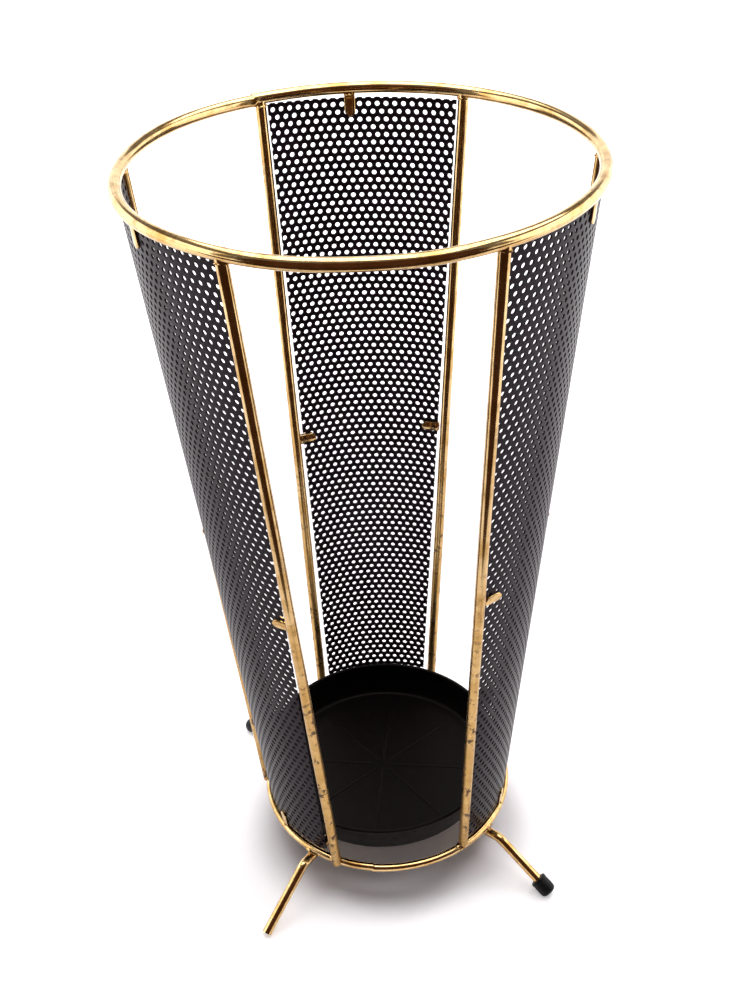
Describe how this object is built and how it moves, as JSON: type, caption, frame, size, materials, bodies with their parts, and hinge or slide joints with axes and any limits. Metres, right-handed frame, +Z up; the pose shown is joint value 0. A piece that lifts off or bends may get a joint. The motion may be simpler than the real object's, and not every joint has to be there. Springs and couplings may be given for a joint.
{
  "type": "umbrella stand",
  "caption": "Open conical umbrella stand of brass rings and rods with curved black perforated metal panels, splayed feet and a lift-out drip tray.",
  "frame": {"origin": "on the floor, on the axis of the two rings", "axes": "+Z up along the axis of the rings, -Y towards the front, where the opening between two panels is, +X to the right seen from the front"},
  "size_m": [0.2425, 0.2424, 0.4662],
  "materials": {
    "polished_brass": "polished yellow brass, lightly tarnished",
    "worn_brass": "brass rod, bright higher up, dulled and speckled with rust lower down",
    "black_sheet": "black satin paint on perforated steel sheet",
    "black_tray": "black moulded plastic, slightly glossy",
    "black_rubber": "black rubber, matt"
  },
  "bodies": {
    "stand": {"top_ring": "polished_brass", "bottom_ring": "polished_brass", "rod_back_right": "worn_brass", "rod_back_left": "worn_brass", "rod_left_rear": "worn_brass", "rod_left_front": "worn_brass", "rod_right_front": "worn_brass", "rod_right_rear": "worn_brass", "panel_back": "black_sheet", "panel_left": "black_sheet", "panel_right": "black_sheet", "clip_back_top": "polished_brass", "clip_back_foot": "polished_brass", "clip_back_right": "polished_brass", "clip_back_left": "polished_brass", "clip_left_top": "polished_brass", "clip_left_foot": "polished_brass", "clip_left_rear": "polished_brass", "clip_left_front": "polished_brass", "clip_right_top": "polished_brass", "clip_right_foot": "polished_brass", "clip_right_front": "polished_brass", "clip_right_rear": "polished_brass", "foot_rod_lower": "worn_brass", "foot_rod_upper": "worn_brass", "cap_back_right": "black_rubber", "cap_back_left": "black_rubber", "cap_front_right": "black_rubber"},
    "tray": {"drip_tray": "black_tray"}
  },
  "joints": [
    {"name": "tray_lift", "type": "slide", "parent": "stand", "child": "tray", "axis": [0, 0, 1], "range_m": [0, 0.44]}
  ]
}
